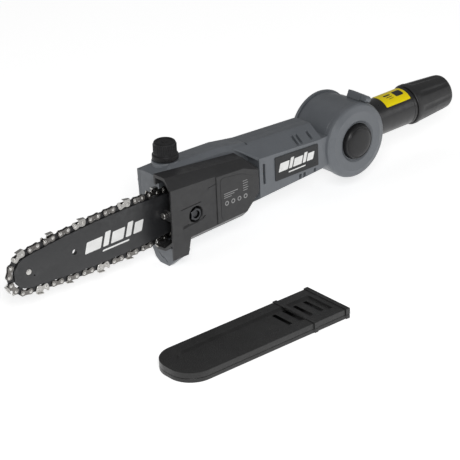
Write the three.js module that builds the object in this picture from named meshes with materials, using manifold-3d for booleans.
// Cutting head of an electric pole saw: guide bar and chain, gear case, motor housing, tilting
// knuckle, short tube with its coupling sleeve, and the loose bar scabbard beside it.
// Millimetres, +Z up. The saw is drawn about the knuckle pivot: +X runs from the bar nose to the
// tube end, -Y is the sprocket cover side. The whole group is then moved so that the origin is
// the bottom centre of the assembly.
import * as THREE from 'three';
import { ConvexGeometry } from 'three/addons/geometries/ConvexGeometry.js';
import { mergeVertices } from 'three/addons/utils/BufferGeometryUtils.js';
import Module from 'manifold-3d';

const wasm = await Module();
wasm.setup();

// ---------------------------------------------------------------- driving dimensions
const GAP = 0.3;                       // clearance between touching pieces
const WALL = 3;                        // moulded wall
const HALF_WIDTH = 30;                 // half width of the housings
const SIDES = 18;                      // facets of a small round piece
const BROAD = 40;                      // facets of a large one

const GEAR = { front: -255, rear: -138, parting: -12.8, top: 42.6, seam: 21 };
const MOTOR = {
  front: -137.7, rear: -48, frontHeight: 35, rearHeight: 30, frontSide: 22.5, rearSide: 17, topFlat: 11,
};
const VENTS = [-81, -75, -60];         // slots above and below each side of the motor
const KNUCKLE = { radius: 41.7, outer: 30.2, inner: 23.7, coreRadius: 40.4, coreHalf: 23.4 };
const BUTTON = { radius: 20, face: -35.9, travel: 3 };
const TUBE = { radius: 20.8, bore: 18.3, start: 22, end: 105.6 };
const SLEEVE = { start: 106, end: 163, frontRadius: 23, rearRadius: 18.6, bore: 14.9 };
const LATCH = { angle: 64, bottom: 42.1, top: 49.5, halfWidth: 3.8 };

const STUD = { x: -233, z: -5, radius: 4 };      // bar stud, origin of the bar group
const BAR = { tilt: -0.97, middle: -13.3, thickness: 4.2, noseRadius: 17.8, nose: -195, belly: 24 };
const CHAIN = { pitch: 9.525, rivets: 66, rise: 4.4, width: 5, cutterWidth: 6.4 };
const SPROCKET = { u: 54.17, pitchRadius: 18.2, teeth: 6 };
// Cutting links in rivets along the loop from the top of the nose; where the loop was joined two
// near-side ones stand six rivets apart.
const CUTTERS = { count: 16, first: 1.2, step: 4, join: 13, joinRivets: 2, near: [0, 2, 4, 6, 8, 10, 13, 14] };

const COVER = { front: -265, rear: -139, face: -40, inner: -37.2 };
const CAP = { x: -233, y: 6, seat: 44, top: 63, radius: 12, flange: 13.8 };
const CHIN = { front: -255, rear: -234, bottom: -63.5 };
const SHAFT = { y: 2, z: -4, radius: 4 };        // motor axis, parallel to X
const TENSION = { y: -20, z: -4 };     // tension screw axis, parallel to X
const SCABBARD = {
  nose: -405.5, middle: -196.1, turn: -1.4, length: 203, halfWidth: 30.2, corner: 26, height: 10.5, wall: 2.5,
};

const FLOOR = CHIN.bottom;
const ORIGIN = new THREE.Vector3(-145.7, -101.15, FLOOR);

// ---------------------------------------------------------------- materials
const finish = (color, roughness, metalness = 0) =>
  new THREE.MeshStandardMaterial({ color, roughness, metalness });
const GREY_SHELL = () => finish(0x6b6e72, 0.55);
const BLACK_SHELL = () => finish(0x1c1c1e, 0.5);
const BAR_PAINT = () => finish(0x3b3b3d, 0.45, 0.3);
const STEEL = () => finish(0xb9bcc0, 0.3, 1);
const DARK_STEEL = () => finish(0x4a4c50, 0.4, 1);
const COPPER = () => finish(0xa8603a, 0.4, 0.8);
const RUBBER = () => finish(0x141414, 0.85);
const YELLOW = () => finish(0xf2d200, 0.5);
const NYLON = () => finish(0xd8d4c6, 0.5);

// ---------------------------------------------------------------- solid helpers
function toSolid(geometry) {
  const bare = geometry.clone();
  for (const name of Object.keys(bare.attributes)) {
    if (name !== 'position') bare.deleteAttribute(name);
  }
  const merged = mergeVertices(bare, 1e-4);
  return new wasm.Manifold(new wasm.Mesh({
    numProp: 3,
    vertProperties: new Float32Array(merged.attributes.position.array),
    triVerts: new Uint32Array(merged.index.array),
  }));
}

function toGeometry(solid) {
  const mesh = solid.getMesh();
  const geometry = new THREE.BufferGeometry();
  geometry.setAttribute('position', new THREE.BufferAttribute(mesh.vertProperties, 3));
  geometry.setIndex(new THREE.BufferAttribute(mesh.triVerts, 1));
  geometry.computeVertexNormals();
  return geometry;
}

function cut(base, ...tools) {
  return toGeometry(tools.reduce((solid, tool) => solid.subtract(toSolid(tool)), toSolid(base)));
}

function join(base, ...extras) {
  return toGeometry(extras.reduce((solid, extra) => solid.add(toSolid(extra)), toSolid(base)));
}

function common(base, other) {
  return toGeometry(toSolid(base).intersect(toSolid(other)));
}

// Box given by its lowest and highest corner.
function box(x0, x1, y0, y1, z0, z1) {
  const geometry = new THREE.BoxGeometry(x1 - x0, y1 - y0, z1 - z0);
  return geometry.translate((x0 + x1) / 2, (y0 + y1) / 2, (z0 + z1) / 2);
}

// Round bar or disc along one axis, through (a, b) on the other two in x, y, z order.
function rod(axis, radius, from, to, a, b, sides = SIDES) {
  const geometry = new THREE.CylinderGeometry(radius, radius, to - from, sides);
  const middle = (from + to) / 2;
  if (axis === 'x') return geometry.rotateZ(-Math.PI / 2).translate(middle, a, b);
  if (axis === 'y') return geometry.translate(a, middle, b);
  return geometry.rotateX(Math.PI / 2).translate(a, b, middle);
}

// Turned piece: profile of [radius, distance along the axis] pairs.
function turned(axis, profile, a, b, sides = SIDES) {
  const geometry = new THREE.LatheGeometry(profile.map(([r, t]) => new THREE.Vector2(r, t)), sides);
  if (axis === 'x') return geometry.rotateZ(-Math.PI / 2).translate(0, a, b);
  if (axis === 'y') return geometry.translate(a, 0, b);
  return geometry.rotateX(Math.PI / 2).translate(a, b, 0);
}

// Flat ring with a plain bore.
function ring(axis, outer, inner, from, to, a, b, sides = SIDES) {
  const profile = [[inner, from], [outer, from], [outer, to], [inner, to], [inner, from]];
  return turned(axis, profile, a, b, sides);
}

// Smallest convex solid round a list of [x, y, z] corners.
function hull(corners) {
  return new ConvexGeometry(corners.map(([x, y, z]) => new THREE.Vector3(x, y, z)));
}

// Plate of an outline drawn in X and Z, from y0 to y1.
function plate(shape, y0, y1, curveSegments = 8) {
  const geometry = new THREE.ExtrudeGeometry(shape, { depth: y1 - y0, bevelEnabled: false, curveSegments });
  return geometry.rotateX(Math.PI / 2).translate(0, y1, 0);
}

// Round wire along a curve.
function wire(curve, radius, steps, sides = 8) {
  const section = new THREE.Shape();
  section.absarc(0, 0, radius, 0, 2 * Math.PI);
  const points = section.getPoints(sides).slice(0, sides);
  return new THREE.ExtrudeGeometry(new THREE.Shape(points), { steps, extrudePath: curve });
}

function coil(radius, wireRadius, from, to, turns, a, b) {
  const points = [];
  const perTurn = 8;
  for (let i = 0; i <= turns * perTurn; i += 1) {
    const angle = (2 * Math.PI * i) / perTurn;
    const along = from + ((to - from) * i) / (turns * perTurn);
    points.push(new THREE.Vector3(a + radius * Math.cos(angle), along, b + radius * Math.sin(angle)));
  }
  return wire(new THREE.CatmullRomCurve3(points), wireRadius, turns * perTurn, 4);
}

function piece(parent, name, geometry, material) {
  const mesh = new THREE.Mesh(geometry, material);
  mesh.name = name;
  parent.add(mesh);
  return mesh;
}

const assembly = new THREE.Group();
const saw = new THREE.Group();
saw.position.copy(ORIGIN).negate();
assembly.add(saw);

// ---------------------------------------------------------------- chain path (bar group, X and Z)
const barGroup = new THREE.Group();
barGroup.position.set(STUD.x, 0, STUD.z);
barGroup.rotation.y = THREE.MathUtils.degToRad(BAR.tilt);
saw.add(barGroup);
barGroup.updateMatrix();

// The rivet line: round the nose, along the bellied lower run, round the sprocket and back.
function rivetLine() {
  const noseRadius = BAR.noseRadius + CHAIN.rise;
  const points = [];
  for (let angle = 84; angle <= 276; angle += 24) {
    const a = THREE.MathUtils.degToRad(angle);
    const centre = BAR.nose - 1;
    points.push([centre + noseRadius * Math.cos(a), noseRadius * Math.sin(a)]);
  }
  const belly = BAR.belly + CHAIN.rise;
  points.push([-135, -(belly - 1.4)], [-70, -belly], [-5, -(belly - 3)]);
  for (let angle = 264; angle <= 456; angle += 24) {
    const a = THREE.MathUtils.degToRad(angle);
    points.push([SPROCKET.u + SPROCKET.pitchRadius * Math.cos(a), SPROCKET.pitchRadius * Math.sin(a)]);
  }
  points.push([-5, belly - 3], [-70, belly], [-135, belly - 1.4]);
  const loop = points.map(([u, w]) => new THREE.Vector3(u, 0, w));
  return new THREE.CatmullRomCurve3(loop, true, 'centripetal');
}

const LINE = rivetLine();
LINE.arcLengthDivisions = 2000;

// Point of the rivet line at a fraction of its length, moved outward by the given distance.
function offsetPoint(fraction, outward) {
  const point = LINE.getPointAt(fraction % 1);
  const tangent = LINE.getTangentAt(fraction % 1);
  return new THREE.Vector2(point.x + tangent.z * outward, point.z - tangent.x * outward);
}

function loopOutline(outward, samples) {
  const points = [];
  for (let i = 0; i < samples; i += 1) points.push(offsetPoint(i / samples, outward));
  return points;
}

// ---------------------------------------------------------------- guide bar
function barOutline() {
  const tailStart = -20;
  const edge = loopOutline(-CHAIN.rise - 0.1, 64).filter((p) => p.x < tailStart);
  const lower = edge.filter((p) => p.y < 0).sort((p, q) => p.x - q.x);
  const upper = edge.filter((p) => p.y >= 0).sort((p, q) => q.x - p.x);
  const shape = new THREE.Shape();
  shape.moveTo(upper[0].x + 1, upper[0].y);
  for (const p of [...upper.slice(1), ...lower]) shape.lineTo(p.x + 1, p.y);
  shape.lineTo(2, -20);
  shape.lineTo(20, -13);
  shape.absarc(14, 0, 14.3, -1.1, 1.1, false);
  shape.lineTo(2, 20);
  return shape;
}

function barHoles() {
  const slot = new THREE.Path();
  const slotHalf = STUD.radius + 0.4;
  slot.absarc(18, 0, slotHalf, -Math.PI / 2, Math.PI / 2, false);
  slot.absarc(-1.5, 0, slotHalf, Math.PI / 2, 1.5 * Math.PI, false);
  const holes = [slot];
  for (const [u, w, radius] of [[-138, 0.5, 3], [-16, 1, 2.4], [-188.5, -6, 0.9]]) {
    const hole = new THREE.Path();
    hole.absarc(u, w, radius, 0, 2 * Math.PI, false);
    holes.push(hole);
  }
  return holes;
}

const barHalf = BAR.thickness / 2;
const barShape = barOutline();
barShape.holes.push(...barHoles());
const noseSlit = rod('y', 19.5, BAR.middle - 0.9, BAR.middle + 0.9, BAR.nose, 0);
piece(barGroup, 'guide_bar', cut(
  plate(barShape, BAR.middle - barHalf, BAR.middle + barHalf, 5),
  noseSlit,
  rod('y', 3.5, BAR.middle - 3, BAR.middle + 3, BAR.nose, 0),
), BAR_PAINT());

function starOutline(teeth, rootRadius, tipRadius, boreRadius) {
  const shape = new THREE.Shape();
  for (let i = 0; i < teeth * 4; i += 1) {
    const angle = (2 * Math.PI * i) / (teeth * 4);
    const radius = i % 4 < 2 ? tipRadius : rootRadius;
    const x = radius * Math.cos(angle);
    const z = radius * Math.sin(angle);
    if (i === 0) shape.moveTo(x, z);
    else shape.lineTo(x, z);
  }
  const bore = new THREE.Path();
  bore.absarc(0, 0, boreRadius, 0, 2 * Math.PI, false);
  shape.holes.push(bore);
  return shape;
}

const noseStar = plate(starOutline(9, 13.5, 16.8, 3.8), BAR.middle - 0.6, BAR.middle + 0.6, 6);
piece(barGroup, 'nose_sprocket', noseStar.translate(BAR.nose, 0, 0), DARK_STEEL());
const rivetProfile = [
  [0, BAR.middle - 2.7], [3.2, BAR.middle - 2.4], [3.2, BAR.middle + 2.4], [0, BAR.middle + 2.7],
];
piece(barGroup, 'nose_rivet', turned('y', rivetProfile, BAR.nose, 0), STEEL());

// ---------------------------------------------------------------- saw chain, one joined loop
function linkAt(fraction, profile, width, side) {
  const centre = offsetPoint(fraction, 0);
  const tangent = LINE.getTangentAt(fraction % 1);
  const along = new THREE.Vector2(tangent.x, tangent.z);
  const shape = new THREE.Shape(profile.map(([t, n]) => new THREE.Vector2(
    centre.x + along.x * t + along.y * n,
    centre.y + along.y * t - along.x * n,
  )));
  return plate(shape, BAR.middle + side - width / 2, BAR.middle + side + width / 2);
}

function chainLoop() {
  const samples = 58;
  const band = new THREE.Shape(loopOutline(2.6, samples));
  band.holes.push(new THREE.Path(loopOutline(-CHAIN.rise + GAP, samples)));
  const cutter = [[-5.5, 0], [5.5, 0], [5, 5.2], [-4, 4.6]];
  const gauge = [[7.5, 0], [12.5, 0], [11, 4.4], [9, 4.4]];
  const extras = [];
  for (let i = 0; i < CUTTERS.count; i += 1) {
    const side = CUTTERS.near.includes(i) ? -0.7 : 0.7;
    const afterJoin = i > CUTTERS.join ? CUTTERS.joinRivets : 0;
    const along = (CUTTERS.first + CUTTERS.step * i + afterJoin) / CHAIN.rivets;
    extras.push(linkAt(along, cutter, CHAIN.cutterWidth - 1.4, side));
    extras.push(linkAt(along, gauge, 2.2, side * 2));
  }
  const half = CHAIN.width / 2;
  return join(plate(band, BAR.middle - half, BAR.middle + half), ...extras);
}
piece(barGroup, 'saw_chain', chainLoop(), STEEL());

// ---------------------------------------------------------------- drive line on the cross shaft
const hub = new THREE.Vector3(SPROCKET.u, 0, 0).applyMatrix4(barGroup.matrix);
const DRIVE = { x: hub.x, z: hub.z, radius: 5 };

const shaftProfile = [
  [0, -21], [DRIVE.radius - 1, -21], [DRIVE.radius - 1, -19.4], [DRIVE.radius - 1.8, -19.4],
  [DRIVE.radius - 1.8, -18.2], [DRIVE.radius, -18.2], [DRIVE.radius, 25], [0, 25],
];
piece(saw, 'output_shaft', turned('y', shaftProfile, DRIVE.x, DRIVE.z), STEEL());
const driveStar = plate(starOutline(SPROCKET.teeth, 9.5, 13.2, DRIVE.radius + GAP), -16.6, -10);
piece(saw, 'drive_sprocket', driveStar.translate(DRIVE.x, 0, DRIVE.z), DARK_STEEL());
piece(saw, 'sprocket_washer', ring('y', 9.5, DRIVE.radius + GAP, -18, -16.9, DRIVE.x, DRIVE.z), STEEL());
const clipRing = ring('y', 6.6, DRIVE.radius - 1.5, -19.1, -18.5, DRIVE.x, DRIVE.z);
const clipMouth = box(DRIVE.x - 2.4, DRIVE.x + 2.4, -20, -18, DRIVE.z, DRIVE.z + 9);
piece(saw, 'shaft_clip', cut(clipRing, clipMouth), DARK_STEEL());

function crownGear() {
  const teeth = 24;
  const disc = ring('y', 22, DRIVE.radius + GAP, 9.6, 14.6, DRIVE.x, DRIVE.z, 24);
  const extras = [];
  for (let i = 0; i < teeth; i += 1) {
    const tooth = new THREE.BoxGeometry(6, 1.9, 1.5).translate(18.7, 8.85, 0);
    tooth.rotateY((2 * Math.PI * i) / teeth);
    extras.push(tooth.translate(DRIVE.x, 0, DRIVE.z));
  }
  return join(disc, ...extras);
}
piece(saw, 'drive_gear', crownGear(), DARK_STEEL());
piece(saw, 'near_shaft_bearing', ring('y', 10.7, DRIVE.radius + GAP, -7.4, -1.6, DRIVE.x, DRIVE.z), STEEL());
piece(saw, 'far_shaft_bearing', ring('y', 10.7, DRIVE.radius + GAP, 17.4, 22.6, DRIVE.x, DRIVE.z), STEEL());

// ---------------------------------------------------------------- gear case with the oil tank
function gearOuter() {
  const body = hull([
    [GEAR.front, 26, 33], [GEAR.front, 10, 34], [GEAR.front, GEAR.parting, 33],
    [GEAR.front, GEAR.parting, -50], [GEAR.front, 7, -52], [GEAR.front, 24.5, 0],
    [-240, HALF_WIDTH, 28], [-240, 10, GEAR.top], [-240, -8, GEAR.top], [-240, GEAR.parting, 39],
    [-236, GEAR.parting, -46], [-236, 8, -46], [-240, HALF_WIDTH, -6],
    [-172, HALF_WIDTH, 24], [-172, 10, 40.6], [-172, -8, 40.6], [-172, GEAR.parting, 36],
    [-172, HALF_WIDTH, -24], [-172, 10, -39], [-172, GEAR.parting, -37],
    [GEAR.rear, HALF_WIDTH, 22], [GEAR.rear, MOTOR.topFlat, MOTOR.frontHeight],
    [GEAR.rear, -8, MOTOR.frontHeight], [GEAR.rear, GEAR.parting, 32],
    [GEAR.rear, HALF_WIDTH, -22], [GEAR.rear, MOTOR.topFlat, -MOTOR.frontHeight],
    [GEAR.rear, GEAR.parting, -33],
  ]);
  const chin = hull([
    [CHIN.front, 7.5, -50], [CHIN.front, 3, -59], [CHIN.front, -4, CHIN.bottom],
    [CHIN.front, -18, CHIN.bottom], [CHIN.front, -28, -54.5], [CHIN.front, -36.6, -47],
    [CHIN.front, -36.6, -42], [CHIN.front, 7.5, -42],
    [-244, -4, CHIN.bottom], [-244, -18, CHIN.bottom],
    [CHIN.rear, 6, -42], [CHIN.rear, 2, -56], [CHIN.rear, -5, -60], [CHIN.rear, -18, -60],
    [CHIN.rear, -28, -52], [CHIN.rear, -36.6, -46], [CHIN.rear, -36.6, -42],
  ]);
  return join(body, chin, rod('z', 14.5, 36, CAP.seat - 1, CAP.x, CAP.y));
}

// Room for the chain round the sprocket and the tail of the bar.
function chainPocket() {
  const outline = loopOutline(8.9, 44).map((p) => new THREE.Vector2(p.x, p.y));
  return plate(new THREE.Shape(outline), -30, -8.4).applyMatrix4(barGroup.matrix);
}

const barPad = box(-252, -208, -10, -8, -16, 6);
const SCREW_HOLE = 1.9;
const LID_SCREWS = [[-250.5, 20], [-250.5, -20], [-212, 29], [-212, -29]];
const lidHole = ([x, z]) => rod('y', SCREW_HOLE, 2, 40, x, z, 8);

function gearCase() {
  const body = cut(
    gearOuter(),
    chainPocket(),
    box(-300, -100, GEAR.seam, 60, -80, 80),
    hull([
      [-207, 1, 33], [-207, 40, 33], [-207, 1, -33], [-207, 40, -33],
      [-100, 1, 29], [-100, 40, 29], [-100, 1, -29], [-100, 40, -29],
    ]),
    hull([
      [-246, -5, 30], [-246, 40, 30], [-246, -5, -34], [-246, 40, -34],
      [-217, -5, 36], [-217, 40, 36], [-217, -5, -34], [-217, 40, -34],
    ]),
    rod('z', 8.6, 25, 60, CAP.x, CAP.y),
    rod('y', 11, -7.7, 3, DRIVE.x, DRIVE.z),
    rod('x', 8, -166.6, -130, SHAFT.y, SHAFT.z),
    rod('y', 7, -10, 0, DRIVE.x, DRIVE.z),
    ...LID_SCREWS.map(lidHole),
  );
  const padded = join(body, barPad);
  return cut(padded, rod('y', STUD.radius + GAP, -12, -6.8, STUD.x, STUD.z));
}
piece(saw, 'gear_case', gearCase(), GREY_SHELL());

function gearLid() {
  const slab = common(gearOuter(), box(-300, -100, GEAR.seam + GAP, 60, -80, 80));
  const dished = cut(
    slab,
    box(-206, -100, 10, 27, -28, 28),
    box(-245, -218, 10, 24, -30, 30),
    ...LID_SCREWS.map(lidHole),
    ...LID_SCREWS.map(([x, z]) => rod('y', 3.8, 25.5, 40, x, z, 12)),
  );
  const boss = ring('y', 14, 11, 17, 27.5, DRIVE.x, DRIVE.z);
  return join(dished, boss);
}
piece(saw, 'gear_case_lid', gearLid(), GREY_SHELL());

function screw(name, x, z, headFace, tip) {
  const head = headFace - 2.2;
  const profile = [[0, tip], [1.5, tip], [1.5, head], [3.4, head], [3.4, headFace], [0, headFace]];
  const recess = rod('y', 1.2, headFace - 1.2, headFace + 1, x, z, 6);
  piece(saw, name, cut(turned('y', profile, x, z, 12), recess), DARK_STEEL());
}
LID_SCREWS.forEach(([x, z], i) => screw(`lid_screw_${i + 1}`, x, z, 25.5 + 2.5, 8));

piece(saw, 'bar_side_plate', cut(
  box(-251, -209, -11, -10.3, -15, 5),
  rod('y', STUD.radius + GAP, -12, -9, STUD.x, STUD.z),
), STEEL());

const studProfile = [[0, -37.5], [3.6, -37.5], [STUD.radius, -37], [STUD.radius, -7], [0, -7]];
piece(saw, 'bar_stud', turned('y', studProfile, STUD.x, STUD.z), STEEL());

// ---------------------------------------------------------------- oil cap, seal and pump
function oilCap() {
  const profile = [
    [0, 37], [8, 37], [8, CAP.seat + 1.8], [11.6, CAP.seat + 1.8], [11.6, CAP.seat],
    [13.2, CAP.seat], [CAP.flange, 45], [CAP.flange, 49.5], [CAP.radius + 0.4, 50.5],
    [CAP.radius, 60.5], [10.6, CAP.top], [0, CAP.top],
  ];
  const grooves = [];
  for (let i = 0; i < 12; i += 1) {
    const groove = rod('z', 0.9, 52, 66, CAP.radius + 0.3, 0, 4);
    grooves.push(groove.rotateZ((2 * Math.PI * (i + 0.5)) / 12).translate(CAP.x, CAP.y, 0));
  }
  return cut(turned('z', profile, CAP.x, CAP.y, 24), ...grooves);
}
piece(saw, 'oil_cap', oilCap(), BLACK_SHELL());
piece(saw, 'cap_seal', ring('z', 11.2, 9, CAP.seat - 0.7, CAP.seat + 1.4, CAP.x, CAP.y), RUBBER());

const pumpBody = box(-204, -190, 9, 17, -31.5, -23.5);
const pumpWheel = rod('y', 3.5, 7.6, 9.5, -197, -27.5, 12);
piece(saw, 'oil_pump', join(pumpBody, pumpWheel), NYLON());
const hosePath = new THREE.CatmullRomCurve3([
  new THREE.Vector3(-189.4, 14, -28), new THREE.Vector3(-183, 14, -29), new THREE.Vector3(-176, 16, -29),
  new THREE.Vector3(-168, 17, -28), new THREE.Vector3(-160, 18, -26),
]);
piece(saw, 'oil_hose', wire(hosePath, 1.8, 10, 6), RUBBER());

// ---------------------------------------------------------------- sprocket cover and its nut
function coverOuter() {
  const body = hull([
    [COVER.front, GEAR.parting - GAP, 42.5], [COVER.front, -30, 42.5], [COVER.front, COVER.face, 30],
    [COVER.front, COVER.face, -28], [COVER.front, -26, -39.8], [COVER.front, GEAR.parting - GAP, -41.4],
    [-158, GEAR.parting - GAP, 31], [-160, -30, 31.5], [-168, COVER.face, 25],
    [-165, COVER.face, -24.5], [-160, -26, -36], [-160, GEAR.parting - GAP, -36],
    [-148, COVER.face, 17], [-148, COVER.face, -8], [COVER.rear, -30, 13], [COVER.rear, -30, -12],
    [COVER.rear, GEAR.parting - GAP, 16], [COVER.rear, GEAR.parting - GAP, -16],
  ]);
  const leg = hull([
    [COVER.front, COVER.face, -45.8], [-246, COVER.face, -45.8],
    [COVER.front, COVER.inner, -47.5], [-244, COVER.inner, -47.5],
    [COVER.front, COVER.face, -25], [-241, COVER.face, -25],
    [COVER.front, COVER.inner, -25], [-240, COVER.inner, -25],
  ]);
  return join(body, leg);
}

function coverHollow() {
  return hull([
    [COVER.front - 5, 0, 39.6], [COVER.front - 5, -29, 39.6], [COVER.front - 5, COVER.inner, 29.2],
    [COVER.front - 5, COVER.inner, -27], [COVER.front - 5, -25, -37.6], [COVER.front - 5, 0, -38.9],
    [-161, 0, 28], [-163, -29, 28.4], [-168, COVER.inner, 23],
    [-166, COVER.inner, -22.5], [-163, -25, -33], [-163, 0, -33],
    [-151, COVER.inner, 15.5], [-151, COVER.inner, -7], [-142, -29, 11], [-142, -29, -10],
    [-142, 0, 14], [-142, 0, -14],
  ]);
}

function sprocketCover() {
  const shell = cut(coverOuter(), coverHollow());
  const nutWell = rod('y', 12.5, -39, -27, STUD.x, STUD.z);
  const lug = box(-257, -253.5, -38, -17, -10, 2);
  return cut(
    join(shell, nutWell, lug),
    rod('y', 10, -45, -30, STUD.x, STUD.z),
    rod('y', STUD.radius + 0.4, -31, -20, STUD.x, STUD.z),
    rod('x', 2.4, -260, -250, TENSION.y, TENSION.z, 12),
    hull([
      [-251, -42, -14], [-251, -42, -20], [-218, -42, -10], [-222, -42, -17],
      [-249, -38.6, -15], [-249, -38.6, -18.5], [-220, -38.6, -11.5], [-223, -38.6, -16],
    ]),
  );
}
piece(saw, 'sprocket_cover', sprocketCover(), BLACK_SHELL());

function hexNut() {
  const body = rod('y', 7.6, -36.8, -30.3, STUD.x, STUD.z, 6);
  return cut(body, rod('y', STUD.radius + GAP, -45, -25, STUD.x, STUD.z));
}
piece(saw, 'cover_nut', hexNut(), STEEL());

// ---------------------------------------------------------------- chain tensioner
const tensionProfile = [
  [0, -261.5], [3.2, -261.5], [3.4, -261], [3.4, -257.4], [2, -257.4], [2, -240], [0, -240],
];
const driverSlot = box(-262, -260.5, TENSION.y - 4, TENSION.y + 4, TENSION.z - 0.5, TENSION.z + 0.5);
const tensionRod = turned('x', tensionProfile, TENSION.y, TENSION.z, 14);
piece(saw, 'tension_screw', cut(tensionRod, driverSlot), STEEL());
const pinSpot = new THREE.Vector3(-16, 0, 1).applyMatrix4(barGroup.matrix);
const tensionBlock = join(
  box(pinSpot.x - 3.5, pinSpot.x + 3.5, -23.5, -16.2, TENSION.z - 4, TENSION.z + 4),
  rod('y', 2, -17, -12, pinSpot.x, pinSpot.z, 12),
);
const threadHole = rod('x', 2.3, -260, -235, TENSION.y, TENSION.z, 12);
piece(saw, 'tension_block', cut(tensionBlock, threadHole), STEEL());

// ---------------------------------------------------------------- motor housing shells
function octagon(x, halfWidth, halfHeight, topFlat, sideFlat) {
  const corners = [];
  for (const sy of [-1, 1]) {
    for (const sz of [-1, 1]) {
      corners.push([x, sy * halfWidth, sz * sideFlat], [x, sy * topFlat, sz * halfHeight]);
    }
  }
  return corners;
}


function motorShell(side) {
  const outer = hull([
    ...octagon(MOTOR.front, HALF_WIDTH, MOTOR.frontHeight, MOTOR.topFlat, MOTOR.frontSide),
    ...octagon(MOTOR.rear, HALF_WIDTH, MOTOR.rearHeight, MOTOR.topFlat, MOTOR.rearSide),
  ]);
  const inner = hull([
    ...octagon(MOTOR.front - 5, 27, MOTOR.frontHeight - WALL, 10, MOTOR.frontSide - 1.5),
    ...octagon(MOTOR.rear - 4, 27, MOTOR.rearHeight - WALL, 10, MOTOR.rearSide - 1.5),
  ]);
  const near = side < 0;
  const half = near ? box(-200, 60, -60, -GAP / 2, -80, 80) : box(-200, 60, GAP / 2, 60, -80, 80);
  const frontWall = common(outer, box(MOTOR.front, MOTOR.front + 1.4, -60, -10, -60, 60));
  const span = near ? [-KNUCKLE.outer, -KNUCKLE.inner] : [KNUCKLE.inner, KNUCKLE.outer];
  const neck = near ? [-28.4, -KNUCKLE.inner] : [KNUCKLE.inner, 28.4];
  const shell = join(
    common(cut(outer, inner), half),
    rod('y', KNUCKLE.radius, span[0], span[1], 0, 0, BROAD),
    box(-51.5, -30, neck[0], neck[1], -16.6, 16.6),
    ...(near ? [frontWall] : []),
  );
  const vents = VENTS.flatMap((x) => [1, -1].map((up) => box(
    x - 0.9, x + 0.9, side * 27 - 8, side * 27 + 8, up > 0 ? 19 : -29.5, up > 0 ? 29.5 : -19,
  )));
  return cut(
    shell,
    rod('y', 6.4, -50, 50, 0, 0),
    near ? rod('y', BUTTON.radius + 0.6, -40, -26.2, 0, 0, 28) : rod('y', 12, 27, 40, 0, 0),
    box(-132, -130, side * 30 - 6, side * 30 + 6, -8, 15),
    ...vents,
  );
}
piece(saw, 'motor_shell_near', motorShell(-1), GREY_SHELL());
piece(saw, 'motor_shell_far', motorShell(1), GREY_SHELL());

const labelShape = new THREE.Shape([
  new THREE.Vector2(-116.4, 17), new THREE.Vector2(-55, 14), new THREE.Vector2(-55, -10.5),
  new THREE.Vector2(-116.4, -10),
]);
piece(saw, 'side_label', plate(labelShape, -HALF_WIDTH - 0.9, -HALF_WIDTH - GAP), BLACK_SHELL());

// ---------------------------------------------------------------- motor
const MOTOR_AXIS = [SHAFT.y, SHAFT.z];
const onShaft = (outer, from, to) => ring('x', outer, SHAFT.radius + GAP, from, to, ...MOTOR_AXIS);
piece(saw, 'motor_shaft', rod('x', SHAFT.radius, -166, -56, ...MOTOR_AXIS), STEEL());

function motorPinion() {
  const blank = rod('x', 5.6, -165, -157, ...MOTOR_AXIS);
  const teeth = [];
  for (let i = 0; i < 9; i += 1) {
    const tooth = new THREE.BoxGeometry(8, 2.2, 1.4).translate(-161, 6.1, 0);
    tooth.rotateX((2 * Math.PI * (i + 0.5)) / 9);
    teeth.push(tooth.translate(0, ...MOTOR_AXIS));
  }
  const bore = rod('x', SHAFT.radius + 0.02, -170, -150, ...MOTOR_AXIS);
  return cut(join(blank, ...teeth), bore);
}
piece(saw, 'motor_pinion', motorPinion(), DARK_STEEL());

piece(saw, 'front_motor_bearing', onShaft(10.8, -134.5, -128.8), STEEL());
const bracketProfile = [
  [11.1, -136], [24, -136], [24, -128.5], [11.1, -128.5], [11.1, -136],
];
piece(saw, 'front_motor_bracket', turned('x', bracketProfile, ...MOTOR_AXIS), NYLON());

function coolingFan() {
  const blades = [];
  for (let i = 0; i < 10; i += 1) {
    const blade = new THREE.BoxGeometry(5, 11, 1.2).translate(-122, 15, 0).rotateX((2 * Math.PI * i) / 10);
    blades.push(blade.translate(0, ...MOTOR_AXIS));
  }
  return join(onShaft(11, -125, -121), ring('x', 22, 9, -126, -124.4, ...MOTOR_AXIS), ...blades);
}
piece(saw, 'cooling_fan', coolingFan(), BLACK_SHELL());
piece(saw, 'armature', onShaft(13, -116, -84), COPPER());
piece(saw, 'commutator', onShaft(9, -80, -72), COPPER());
piece(saw, 'stator', ring('x', 23.5, 14.5, -114, -86, ...MOTOR_AXIS, 24), DARK_STEEL());
for (const [name, from, to] of [['near', -19, -8.4], ['far', 12.4, 22]]) {
  piece(saw, `brush_holder_${name}`, box(-79, -73, from, to, SHAFT.z - 4, SHAFT.z + 4), NYLON());
}
piece(saw, 'rear_motor_bearing', onShaft(8, -63, -58), STEEL());
piece(saw, 'rear_motor_bracket', ring('x', 22, 8.3, -63, -58, ...MOTOR_AXIS), NYLON());

// ---------------------------------------------------------------- knuckle, pole side
const knuckleGroup = new THREE.Group();
saw.add(knuckleGroup);

function latchFrame(geometry) {
  return geometry.rotateY(THREE.MathUtils.degToRad(90 - LATCH.angle));
}

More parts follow.
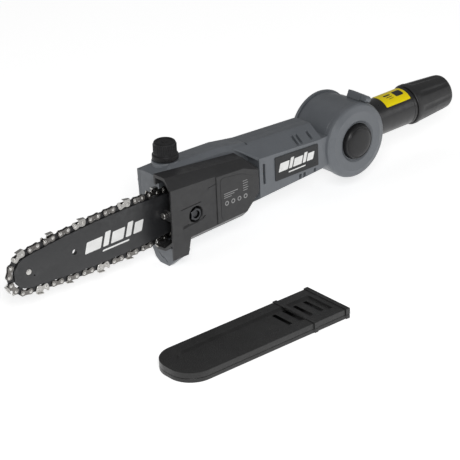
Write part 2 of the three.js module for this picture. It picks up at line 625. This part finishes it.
function knuckleCore() {
  return cut(
    rod('y', KNUCKLE.coreRadius, -KNUCKLE.coreHalf, KNUCKLE.coreHalf, 0, 0, BROAD),
    rod('x', TUBE.radius + GAP, TUBE.start - GAP, 60, 0, 0, 24),
    rod('y', 6.4, -40, 40, 0, 0),
    rod('y', 19, -30, -21.1, 0, 0, 24),
    rod('x', 4, -60, 30, 0, 13, 12),
    latchFrame(box(-3.4, 3.4, -15.4, 0, 31.6, 50)),
  );
}
piece(knuckleGroup, 'knuckle_core', knuckleCore(), GREY_SHELL());
const detent = plate(starOutline(12, 16.8, 18.4, 6.8), -23.1, -21.4, 9);
piece(knuckleGroup, 'detent_ring', detent, DARK_STEEL());

const boltProfile = [[0, -25.9], [6, -25.9], [6, 27.3], [11, 27.3], [11, 29], [9.6, 29.8], [0, 29.8]];
const boltSocket = rod('y', 3, 27.5, 31, 0, 0, 6);
piece(saw, 'pivot_bolt', cut(turned('y', boltProfile, 0, 0), boltSocket), DARK_STEEL());

const buttonProfile = [
  [0, BUTTON.face], [8, BUTTON.face + 0.3], [14, BUTTON.face + 1.2], [18, BUTTON.face + 2.8],
  [BUTTON.radius, BUTTON.face + 4.6], [BUTTON.radius, -29.6], [17.6, -29.6], [14, -33.2],
  [0, -33.6],
];
piece(saw, 'pivot_button', turned('y', buttonProfile, 0, 0, 28), BLACK_SHELL());
piece(saw, 'button_spring', coil(11, 0.6, -32.1, -27.2, 3, 0, 0), STEEL());

const latchBody = join(
  box(-LATCH.halfWidth, LATCH.halfWidth, -21, -2, LATCH.bottom, LATCH.top),
  box(-3, 3, -15, -7, 32, LATCH.bottom + 1),
);
piece(knuckleGroup, 'latch_slider', latchFrame(latchBody), BLACK_SHELL());
const latchMiddle = (LATCH.bottom + 0.2 + LATCH.top) / 2;
const latchTip = join(
  box(-LATCH.halfWidth, LATCH.halfWidth, -27.8, -21 - GAP, LATCH.bottom + 0.2, LATCH.top),
  rod('x', 3.6, -LATCH.halfWidth, LATCH.halfWidth, -27.8, latchMiddle, 16),
);
piece(knuckleGroup, 'latch_tip', latchFrame(latchTip), GREY_SHELL());
piece(knuckleGroup, 'latch_spring', latchFrame(coil(2, 0.35, -6.3, -0.7, 4, 0, 36.5)), STEEL());

// ---------------------------------------------------------------- tube, label and coupling sleeve
piece(knuckleGroup, 'tube', ring('x', TUBE.radius, TUBE.bore, TUBE.start, TUBE.end, 0, 0, 28), BLACK_SHELL());

function tubeLabel() {
  const outer = TUBE.radius + GAP + 0.4;
  const skin = ring('x', outer, TUBE.radius + GAP, 63, 99.5, 0, 0, BROAD);
  const wedge = hull([
    [50, 0, 0], [110, 0, 0], [50, -40, 38], [110, -40, 38], [50, 24, 50], [110, 24, 50], [50, -20, 60],
    [110, -20, 60],
  ]);
  return common(skin, wedge);
}
piece(knuckleGroup, 'tube_label', tubeLabel(), YELLOW());

const spigotProfile = [
  [12, 90], [18, 90], [18, 104], [14.5, 105], [14.5, 153.9], [13.2, 153.9], [13.2, 155.9],
  [14.5, 155.9], [14.5, 159], [12, 159], [12, 90],
];
piece(knuckleGroup, 'coupling_spigot', turned('x', spigotProfile, 0, 0, 20), BLACK_SHELL());

function couplingSleeve() {
  const profile = [
    [SLEEVE.bore, SLEEVE.start], [22.2, SLEEVE.start], [SLEEVE.frontRadius, 107], [SLEEVE.frontRadius, 111],
    [SLEEVE.rearRadius, 158], [SLEEVE.rearRadius - 0.4, 162], [SLEEVE.rearRadius - 1.2, SLEEVE.end],
    [16.3, SLEEVE.end], [16.3, 152.5], [SLEEVE.bore, 152.5], [SLEEVE.bore, SLEEVE.start],
  ];
  const flutes = [];
  for (let i = 0; i < 8; i += 1) {
    const flute = new THREE.CylinderGeometry(4, 4, 40, 6).rotateZ(-Math.PI / 2).translate(137, 23.9, 0);
    flutes.push(flute.rotateX((2 * Math.PI * i) / 8));
  }
  return cut(turned('x', profile, 0, 0, 28), ...flutes);
}
piece(knuckleGroup, 'coupling_sleeve', couplingSleeve(), BLACK_SHELL());
piece(knuckleGroup, 'sleeve_clip', ring('x', 15.9, 13.5, 154.2, 155.6, 0, 0), STEEL());

const connectorBody = rod('x', 11.7, 116, 142, 0, 0);
const pins = [[0, 5], [4.3, -2.5], [-4.3, -2.5]].map(([y, z]) => rod('x', 1.5, 140, 151, y, z, 12));
piece(knuckleGroup, 'power_connector', join(connectorBody, ...pins), NYLON());
const leadPath = new THREE.CatmullRomCurve3([
  new THREE.Vector3(115.6, 0, 0), new THREE.Vector3(98, 0, 0.5), new THREE.Vector3(70, 0, 4),
  new THREE.Vector3(45, 0, 10), new THREE.Vector3(24, 0, 13), new THREE.Vector3(-28, 0, 13),
]);
piece(knuckleGroup, 'power_lead', wire(leadPath, 3, 14, 6), RUBBER());

// ---------------------------------------------------------------- scabbard, lying on the floor
const scabbardGroup = new THREE.Group();
scabbardGroup.position.set(SCABBARD.nose, SCABBARD.middle, FLOOR);
scabbardGroup.rotation.z = THREE.MathUtils.degToRad(SCABBARD.turn);
saw.add(scabbardGroup);

// Outline seen from above with the nose at x = 0, drawn in by the inset.
function scabbardOutline(inset, rear) {
  const side = SCABBARD.halfWidth - inset;
  const bend = SCABBARD.corner - inset;
  const shape = new THREE.Shape();
  shape.moveTo(rear, -side);
  shape.lineTo(rear, side);
  shape.lineTo(inset + bend, side);
  shape.absarc(inset + bend, side - bend, bend, Math.PI / 2, Math.PI, false);
  shape.absarc(inset + bend, bend - side, bend, Math.PI, 1.5 * Math.PI, false);
  return shape;
}

function slab(shape, z0, z1) {
  const options = { depth: z1 - z0, bevelEnabled: false, curveSegments: 6 };
  return new THREE.ExtrudeGeometry(shape, options).translate(0, 0, z0);
}

function scabbard() {
  const { length, height, halfWidth, wall } = SCABBARD;
  const ribs = [length - 46, length - 5].map((from) => box(
    from, from + 5, -halfWidth - 1.2, halfWidth + 1.2, 0, height + 0.6,
  ));
  const windows = [];
  for (let i = 0; i < 4; i += 1) {
    const from = length - 62 + 13 * i;
    windows.push(box(from, from + 4.5, -13, 13, height - wall - 1, height + 3));
  }
  return cut(
    join(slab(scabbardOutline(0, length), 0, height), ...ribs),
    slab(scabbardOutline(wall, length + 5), wall, height - wall),
    slab(scabbardOutline(14, length - 12), height - 0.9, height + 3),
    ...windows,
  );
}
piece(scabbardGroup, 'scabbard', scabbard(), BLACK_SHELL());

export default assembly;
